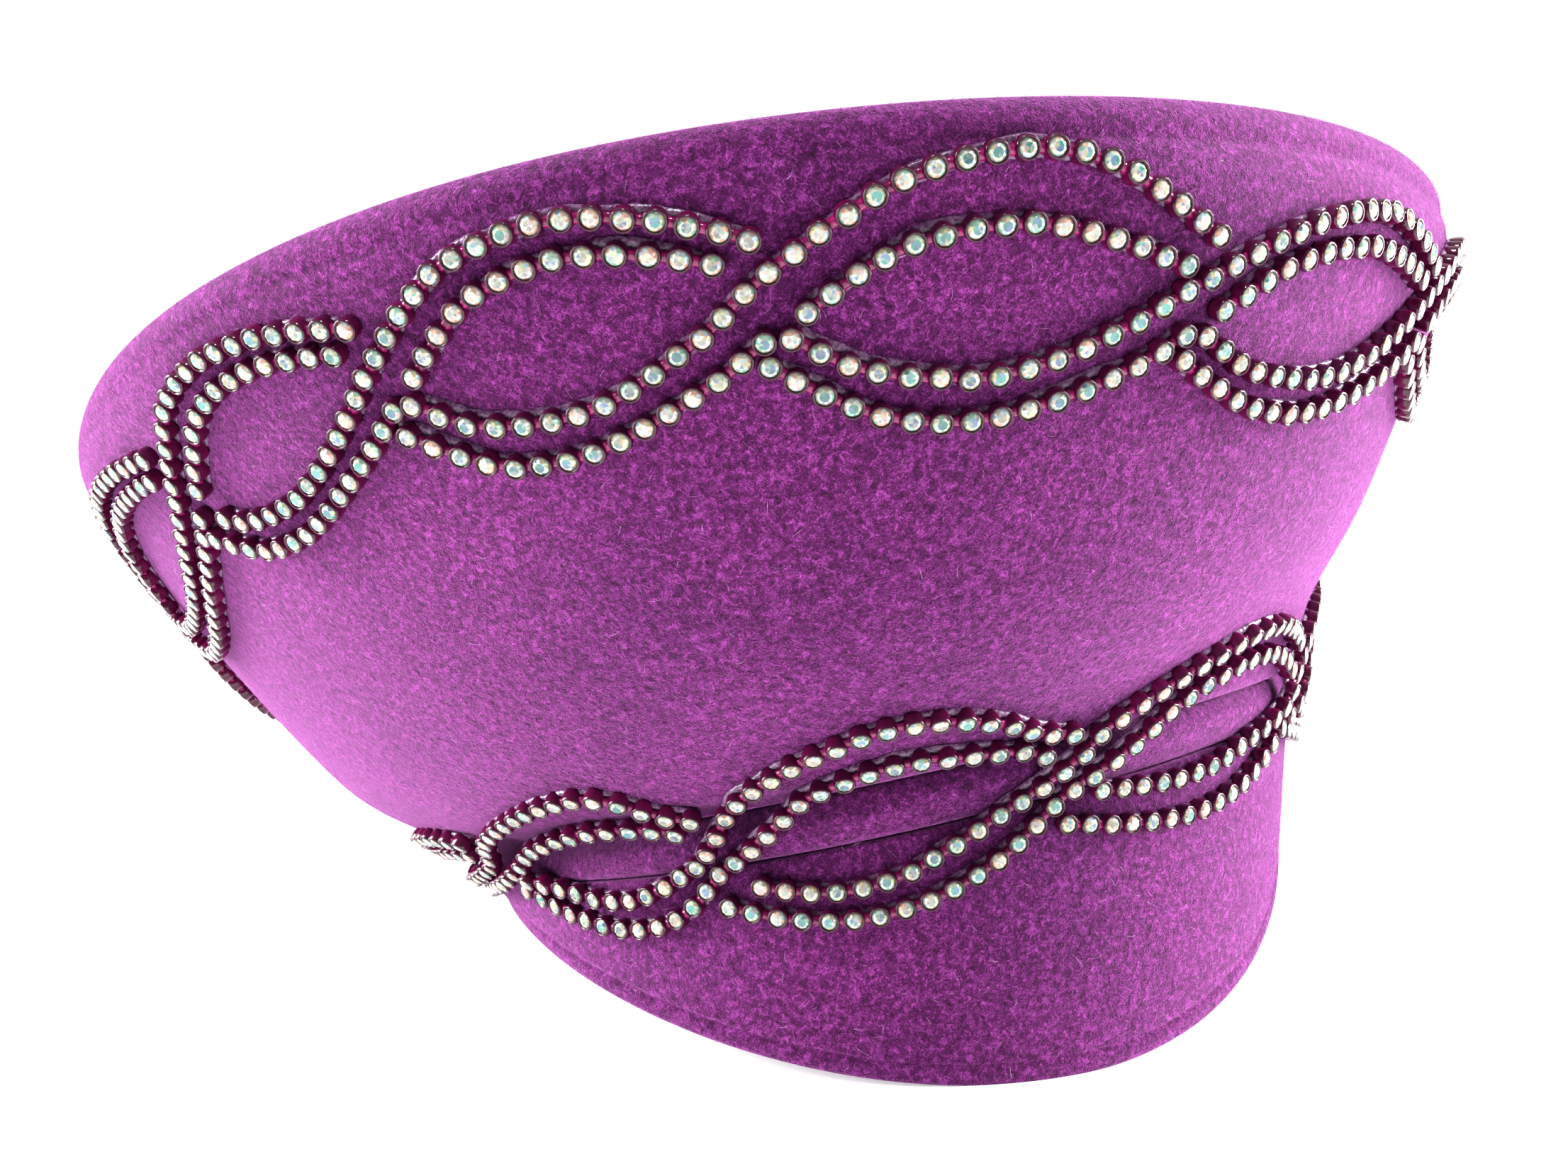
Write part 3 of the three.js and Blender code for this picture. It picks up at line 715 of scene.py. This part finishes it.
def paint_glow_faces(mesh, cup_faces):
    """Paints the light that would shine through the plastic, as a face value: little at the rims, more low
    down, most in the bars.
    """
    per_cup = len(cup_shape()[1])
    ring = np.minimum(np.arange(per_cup) // CUP_SIDES, len(CUP_PAINTED_GLOW) - 1)
    count = cup_faces // per_cup
    glow = rng.beta(1.2, 2.5, (count, 1))
    cups = np.array(CUP_PAINTED_GLOW)[ring] * (0.3 + glow)
    bars = rng.uniform(0.35, 1.0, len(mesh.polygons) - cup_faces)
    thin = mesh.attributes.new("painted_glow", "FLOAT", "FACE")
    thin.data.foreach_set("value", np.concatenate([cups.ravel(), bars]).astype(np.float32))


def tint_facets(mesh, facets):
    """Gives each facet a tone of its own, near its stone's tone, partly the rainbow coating's colour and
    partly painted reflection, and a brightness that is painted reflection, on the table painted light seen
    into the stone.
    """
    count = len(mesh.polygons) // facets
    facet = np.arange(facets)
    on_table = (facet % FACETS_EACH == 0) & (facet < EIGHTHS * FACETS_EACH)
    stone = rng.random((count, 1))
    near = rng.normal(0, np.where(on_table, 0.1, 0.2), (count, facets))
    tone = np.where(on_table, 0.5 * stone + near, 0.5 + 0.5 * stone + near)
    tone = np.clip(np.where(on_table, np.clip(tone, 0, 0.49), tone), 0, 1)
    # Painted light seen into the stone through the table, dark to light
    table_painted_light = rng.uniform(0.15, 0.75, (count, 1)) + rng.normal(0, 0.12, (count, facets))
    reflection_paint = np.where(on_table, table_painted_light, rng.beta(5, 1.6, (count, facets)))
    for label, values in (("facet_tone", tone), ("facet_painted_reflection", reflection_paint)):
        attribute = mesh.attributes.new(label, "FLOAT", "FACE")
        attribute.data.foreach_set("value", values.ravel().astype(np.float32))


def glue_film(point, side, up):
    """A ragged film under a row that creeps out past the cups on the upper side and up against them."""
    finer = 3
    count = (len(point) - 1) * finer + 1
    at, own = np.linspace(0, len(point) - 1, count), np.arange(len(point))

    def finely(values):
        return np.stack([np.interp(at, own, values[:, axis]) for axis in range(3)], -1)

    base, side, up = finely(point), unit(finely(side)), unit(finely(up))
    base = base - up * (STRIP_LIFT - 0.05) * MM
    uphill = np.sign(side[:, 2:3].mean()) * side
    ragged = rng.normal(0, 1, (2, count, 1))
    ragged = (ragged + np.roll(ragged, 1, axis=1) + np.roll(ragged, -1, axis=1)) / 3
    creep = wander(np.linspace(0, 2 * math.pi, count)[:, None], int(rng.integers(1000)), (1, 2, 3))
    outside = 1.6 + 0.55 * creep + 0.25 * ragged[0]
    inside = 1.5 + 0.2 * ragged[1]
    outline = [
        (-inside, 0.0), (-inside * 0.9, 0.3), (outside * 0.75, 0.9), (outside * 0.93, 0.5), (outside, 0.2),
        (outside, 0.0),
    ]
    rows = [base + (uphill * across + up * high) * MM for across, high in outline]
    points = np.stack(rows, 1).reshape(-1, 3)
    sides = len(outline)
    faces = grid_faces(count, sides, False)
    if np.sign(side[:, 2].mean()) < 0:
        faces = faces[:, ::-1]
    faces = faces.tolist()
    faces += [list(range(sides)), [sides * (count - 1) + i for i in range(sides - 1, -1, -1)]]
    return points, faces


# Materials
# Felt colours for the nap, dark, middle and light: the dark is partly painted shade between the clumps, the
# light partly painted light on their tops
MAGENTA = ((0.008, 0.0005, 0.007), (0.07, 0.0055, 0.063), (0.36, 0.055, 0.34))
WISP_TURNS = ((0, 42, 12), (0, -48, -18), (20, 5, 80))


class Nodes:
    """Adds nodes to a tree and links them, by name of type and socket."""

    def __init__(self, tree):
        self.tree = tree
        self.column = 0

    def add(self, kind, **settings):
        node = self.tree.nodes.new(kind)
        node.location = (self.column * 200, 0)
        self.column += 1
        for key, value in settings.items():
            setattr(node, key, value)
        return node

    def put(self, node, **values):
        """Sets or links inputs. A name's underscores stand for spaces."""
        for key, value in values.items():
            socket = node.inputs[key.replace("_", " ")]
            if isinstance(value, bpy.types.NodeSocket):
                self.tree.links.new(value, socket)
            else:
                socket.default_value = value
        return node

    def math(self, operation, a, b=0.0, clamp=False):
        node = self.add("ShaderNodeMath", operation=operation, use_clamp=clamp)
        for socket, value in zip(node.inputs, (a, b)):
            if isinstance(value, bpy.types.NodeSocket):
                self.tree.links.new(value, socket)
            else:
                socket.default_value = value
        return node.outputs[0]

    def noise(self, vector, scale, detail=2.0, roughness=0.5, distortion=0.0):
        node = self.add("ShaderNodeTexNoise")
        self.put(node, Vector=vector, Scale=scale, Detail=detail, Roughness=roughness, Distortion=distortion)
        return node.outputs["Fac"]

    def ramp(self, value, stops, steps=False):
        """A colour ramp over (position, colour) stops."""
        node = self.add("ShaderNodeValToRGB")
        node.color_ramp.interpolation = "CONSTANT" if steps else "LINEAR"
        elements = node.color_ramp.elements
        while len(elements) < len(stops):
            elements.new(0.5)
        for element, (position, colour) in zip(elements, stops):
            element.position = position
            element.color = (*colour, 1.0)
        self.tree.links.new(value, node.inputs["Fac"])
        return node.outputs["Color"]

    def mix(self, factor, a, b, blend="MIX"):
        node = self.add("ShaderNodeMix", data_type="RGBA", blend_type=blend)
        for socket, value in zip((node.inputs[0], node.inputs[6], node.inputs[7]), (factor, a, b)):
            if isinstance(value, bpy.types.NodeSocket):
                self.tree.links.new(value, socket)
            else:
                socket.default_value = value if isinstance(value, float) else (*value, 1.0)
        return node.outputs[2]


def new_group(name, inputs, outputs):
    """A node group with float inputs given as name: default, and float outputs."""
    tree = bpy.data.node_groups.new(name, "ShaderNodeTree")
    for label, default in inputs.items():
        socket = tree.interface.new_socket(label, in_out="INPUT", socket_type="NodeSocketFloat")
        socket.default_value = default
    for label in outputs:
        tree.interface.new_socket(label, in_out="OUTPUT", socket_type="NodeSocketFloat")
    nodes = Nodes(tree)
    return tree, nodes, nodes.add("NodeGroupInput").outputs, nodes.add("NodeGroupOutput")


def nap_group():
    """Wool nap: wisps that cross in three directions over soft clumps, and broad patches brushed over."""
    tree, nodes, given, result = new_group(
        "Wool nap", {"Clump Size": 1.3, "Wisp Width": 0.2, "Wisp Length": 0.9}, ("Shade", "Patch", "Height")
    )
    place = nodes.add("ShaderNodeTexCoord").outputs["Object"]
    clump = nodes.noise(place, nodes.math("DIVIDE", 1000.0, given["Clump Size"]), 2.0, 0.6, 0.6)
    drift = nodes.add("ShaderNodeTexNoise")
    nodes.put(drift, Vector=place, Scale=700.0, Detail=1.0)
    bent = nodes.add("ShaderNodeVectorMath", operation="MULTIPLY_ADD")
    nodes.tree.links.new(drift.outputs["Color"], bent.inputs[0])
    bent.inputs[1].default_value = (0.0012, 0.0012, 0.0012)
    nodes.tree.links.new(place, bent.inputs[2])
    wisps = 0.0
    for turn in WISP_TURNS:
        turned = nodes.add("ShaderNodeMapping", vector_type="TEXTURE")
        turned.inputs["Rotation"].default_value = [math.radians(part) for part in turn]
        nodes.put(turned, Vector=bent.outputs["Vector"])
        stretched = nodes.add("ShaderNodeCombineXYZ")
        nodes.put(stretched, X=given["Wisp Length"], Y=given["Wisp Width"], Z=given["Wisp Width"])
        counted = nodes.add("ShaderNodeVectorMath", operation="DIVIDE")
        nodes.tree.links.new(turned.outputs["Vector"], counted.inputs[0])
        nodes.tree.links.new(stretched.outputs["Vector"], counted.inputs[1])
        wisp = nodes.noise(counted.outputs["Vector"], 1000.0, 1.0)
        wisps = nodes.math("MAXIMUM", wisp, wisps)
    patch = nodes.noise(place, 28.0, 2.0)
    shade = nodes.math("ADD", nodes.math("MULTIPLY", clump, 0.4), nodes.math("MULTIPLY", wisps, 0.6))
    nodes.put(result, Shade=shade, Patch=patch, Height=shade)
    return tree


def moulded_group():
    """Moulded plastic: faint waves in the skin and a cloudy depth."""
    tree, nodes, given, result = new_group("Moulded skin", {"Wave Size": 1.2}, ("Cloud", "Height"))
    place = nodes.add("ShaderNodeTexCoord").outputs["Object"]
    scale = nodes.math("DIVIDE", 1000.0, given["Wave Size"])
    nodes.put(result, Cloud=nodes.noise(place, scale, 2.0), Height=nodes.noise(place, scale, 1.0))
    return tree


def new_material(name):
    material = bpy.data.materials.new(name)
    material.use_nodes = True
    material.node_tree.nodes.clear()
    nodes = Nodes(material.node_tree)
    shader = nodes.add("ShaderNodeBsdfPrincipled")
    nodes.put(nodes.add("ShaderNodeOutputMaterial"), Surface=shader.outputs["BSDF"])
    return material, nodes, shader


def place_group(nodes, group, **values):
    node = nodes.add("ShaderNodeGroup")
    node.node_tree = group
    return nodes.put(node, **values)


def felt_material(name, group, dark, middle, light, clump, bump):
    """Napped felt whose colour follows the nap: darker between the clumps, partly painted shade, lighter on
    top, partly painted light, with a soft sheen at the edges.
    """
    material, nodes, shader = new_material(name)
    nap = place_group(nodes, group, Clump_Size=clump)
    # Nap colour: the felt's own mottling together with painted shade in the low places between clumps and
    # painted light on their tops
    colour = nodes.ramp(nap.outputs["Shade"], [(0.4, dark), (0.56, middle), (0.74, light)])
    brushed = nodes.ramp(nap.outputs["Patch"], [(0.35, (0.88, 0.86, 0.9)), (0.65, (1.1, 1.12, 1.08))])
    colour = nodes.mix(1.0, colour, brushed, "MULTIPLY")
    relief = nodes.add("ShaderNodeBump")
    nodes.put(relief, Strength=bump, Distance=0.0008, Height=nap.outputs["Height"])
    nodes.put(
        shader, Base_Color=colour, Roughness=0.95, Specular_IOR_Level=0.1, Normal=relief.outputs["Normal"],
        Sheen_Weight=0.55, Sheen_Roughness=0.3, Sheen_Tint=(1.0, 0.35, 0.95, 1.0),
    )
    return material


def fibre_material(name, low, high):
    """Single wool fibres, a little different from place to place."""
    material, nodes, shader = new_material(name)
    place = nodes.add("ShaderNodeTexCoord").outputs["Object"]
    colour = nodes.ramp(nodes.noise(place, 900.0, 1.0), [(0.35, low), (0.65, high)])
    nodes.put(shader, Base_Color=colour, Roughness=0.8, Specular_IOR_Level=0.2)
    return material


def cup_material(group):
    """Wine-coloured plastic, nearly black where it is thick, with a painted magenta glow where light would
    come through.
    """
    material, nodes, shader = new_material("wine_plastic")
    skin = place_group(nodes, group, Wave_Size=1.1)
    # The painted glow of light through the plastic, a face value that lifts the colour towards magenta
    thin = nodes.add("ShaderNodeAttribute", attribute_name="painted_glow").outputs["Fac"]
    painted_light_level = nodes.math("MULTIPLY", thin, nodes.math("ADD", skin.outputs["Cloud"], 0.5))
    colour = nodes.ramp(painted_light_level, [
        (0.0, (0.026, 0.001, 0.01)), (0.3, (0.075, 0.002, 0.027)), (0.65, (0.16, 0.004, 0.058)),
        (1.0, (0.24, 0.006, 0.09)),
    ])
    relief = nodes.add("ShaderNodeBump")
    nodes.put(relief, Strength=0.25, Distance=0.0002, Height=skin.outputs["Height"])
    nodes.put(
        shader, Base_Color=colour, Roughness=0.09, IOR=1.45, Specular_IOR_Level=0.4,
        Normal=relief.outputs["Normal"],
    )
    return material


def glue_material(group):
    """Dried clear glue that greys the felt under it."""
    material, nodes, shader = new_material("dried_glue")
    skin = place_group(nodes, group, Wave_Size=0.7)
    colour = nodes.ramp(skin.outputs["Cloud"], [(0.35, (0.05, 0.012, 0.05)), (0.7, (0.2, 0.1, 0.2))])
    relief = nodes.add("ShaderNodeBump")
    nodes.put(relief, Strength=0.6, Distance=0.0003, Height=skin.outputs["Height"])
    nodes.put(shader, Base_Color=colour, Roughness=0.22, IOR=1.4, Normal=relief.outputs["Normal"])
    return material


def stone_material():
    """Cut crystal with a rainbow coating: each facet shows its own tint, partly the coating's colour and
    partly painted reflection, darkened or lightened by painted reflection.
    """
    material, nodes, shader = new_material("coated_crystal")
    tone = nodes.add("ShaderNodeAttribute", attribute_name="facet_tone").outputs["Fac"]
    reflection_paint = nodes.add("ShaderNodeAttribute", attribute_name="facet_painted_reflection").outputs["Fac"]
    tint = nodes.ramp(tone, [
        (0.0, (0.05, 0.24, 0.2)), (0.1, (0.12, 0.18, 0.32)), (0.18, (0.28, 0.34, 0.31)),
        (0.28, (0.4, 0.36, 0.22)), (0.36, (0.36, 0.28, 0.3)), (0.42, (0.42, 0.45, 0.38)),
        (0.5, (0.26, 0.48, 0.36)), (0.6, (0.54, 0.56, 0.46)), (0.72, (0.5, 0.53, 0.3)),
        (0.8, (0.58, 0.58, 0.55)), (0.89, (0.4, 0.52, 0.58)), (0.965, (0.58, 0.34, 0.26)),
    ], steps=True)
    # Painted reflection: each facet's brightness, dark to light, multiplies its tint
    painted_light_level = nodes.ramp(reflection_paint, [(0.1, (0.3, 0.32, 0.33)), (0.85, (0.84, 0.84, 0.84))])
    colour = nodes.mix(1.0, tint, painted_light_level, "MULTIPLY")
    nodes.put(shader, Base_Color=colour, Metallic=0.1, Roughness=0.08, IOR=1.6)
    return material


# The stage
def floor_piece():
    half = 4.0
    corners = [(-half, -half, 0), (half, -half, 0), (half, half, 0), (-half, half, 0)]
    mesh = bpy.data.meshes.new("floor")
    mesh.from_pydata(corners, [], [(0, 1, 2, 3)])
    floor = bpy.data.objects.new("floor", mesh)
    bpy.context.scene.collection.objects.link(floor)
    material, nodes, shader = new_material("pale_floor")
    nodes.put(
        shader, Base_Color=(0.9, 0.895, 0.9, 1.0), Roughness=0.9, Emission_Color=(1.0, 1.0, 1.0, 1.0),
        Emission_Strength=0.45,
    )
    mesh.materials.append(material)


def soft_box(name, place, aim, size, power):
    light = bpy.data.lights.new(name, "AREA")
    light.shape = "RECTANGLE"
    light.size, light.size_y = size
    light.energy = power
    box = bpy.data.objects.new(name, light)
    box.location = place
    box.rotation_euler = (Vector(aim) - Vector(place)).to_track_quat("-Z", "Y").to_euler()
    bpy.context.scene.collection.objects.link(box)


def studio():
    """White paper behind and at the sides, a dimmer room in front, and soft lights above and at the sides."""
    world = bpy.data.worlds.new("studio")
    world.use_nodes = True
    nodes = Nodes(world.node_tree)
    direction = nodes.add("ShaderNodeTexCoord").outputs["Generated"]
    parts = nodes.put(nodes.add("ShaderNodeSeparateXYZ"), Vector=direction)
    turned = nodes.math("ADD", nodes.math("MULTIPLY", parts.outputs["Y"], 0.5), 0.5)
    room = nodes.ramp(turned, [(0.15, (0.25, 0.25, 0.25)), (0.5, (1.0, 1.0, 1.0))])
    background = world.node_tree.nodes["Background"]
    nodes.put(background, Color=room, Strength=1.04)
    bpy.context.scene.world = world
    middle = (0, 0, 0.1)
    soft_box("above", (0.0, -0.45, 1.3), middle, (0.25, 0.25), 13.0)
    soft_box("left", (-1.15, 0.0, 0.4), middle, (0.7, 1.0), 76.0)
    soft_box("right", (1.15, 0.1, 0.4), middle, (0.7, 1.0), 88.0)
    bpy.context.scene.view_settings.view_transform = "Standard"


def photo_camera():
    """The photograph's camera: close to the hat and looking down on it a little."""
    data = bpy.data.cameras.new("photo_camera")
    data.sensor_width = 36.0
    data.lens = 39.45
    camera = bpy.data.objects.new("photo_camera", data)
    camera.location = (-0.0031, -0.4226, 0.1446)
    camera.rotation_euler = (math.radians(90 - 8.95), math.radians(0.13), math.radians(-0.7))
    bpy.context.scene.collection.objects.link(camera)
    bpy.context.scene.camera = camera


# Putting the hat together
photo_camera()
studio()
floor_piece()

nap = nap_group()
moulded = moulded_group()
wool = felt_material("wool_felt", nap, *MAGENTA, clump=1.3, bump=0.9)
fibres = fibre_material("wool_nap", (0.1, 0.01, 0.095), (0.36, 0.08, 0.34))
pale_fibres = fibre_material("stray_fibre", (0.4, 0.15, 0.4), (0.75, 0.5, 0.75))
looks = {"cups": cup_material(moulded), "stones": stone_material(), "glue": glue_material(moulded)}

ring = np.linspace(0, 2 * math.pi, AROUND, endpoint=False)
crown_outside = outside(wall_piece("crown_wall", crown_rows(ring), wool, "crown"), CROWN_OUTSIDE)
band_outside = outside(wall_piece("band_roll", band_rows(ring), wool, "felt_band"), BAND_OUTSIDE)
brim_outside = outside(wall_piece("brim_wall", brim_rows(ring), wool, "brim", rests=True), BRIM_OUTSIDE)
tip_piece(wool)

nap_piece("crown_nap", crown_outside, 42000, 1.1, 0.35, fibres)
nap_piece("band_nap", band_outside, 8000, 1.0, 0.3, fibres)
nap_piece("brim_nap", brim_outside, 14000, 1.0, 0.35, fibres)
stray_fibres("crown_strays", crown_outside, 1100, pale_fibres)
stray_fibres("brim_strays", brim_outside, 300, pale_fibres)

upper = {
    "name": "upper_swag", "nodes": garland_nodes(UPPER_SEEN, UPPER_HIDDEN, UPPER_BEHIND),
    "place": HEM, "radius": 138, "rows": (UPPER_ROW_1, UPPER_ROW_2), "breaks": (None, UPPER_BREAK),
}
lower = {
    "name": "lower_swag", "nodes": garland_nodes(LOWER_SEEN, LOWER_HIDDEN, LOWER_BEHIND),
    "place": CREASE, "radius": 97, "rows": (LOWER_ROW_1, LOWER_ROW_2), "breaks": (None, None),
}
banding_pieces(upper, looks)
banding_pieces(lower, looks)
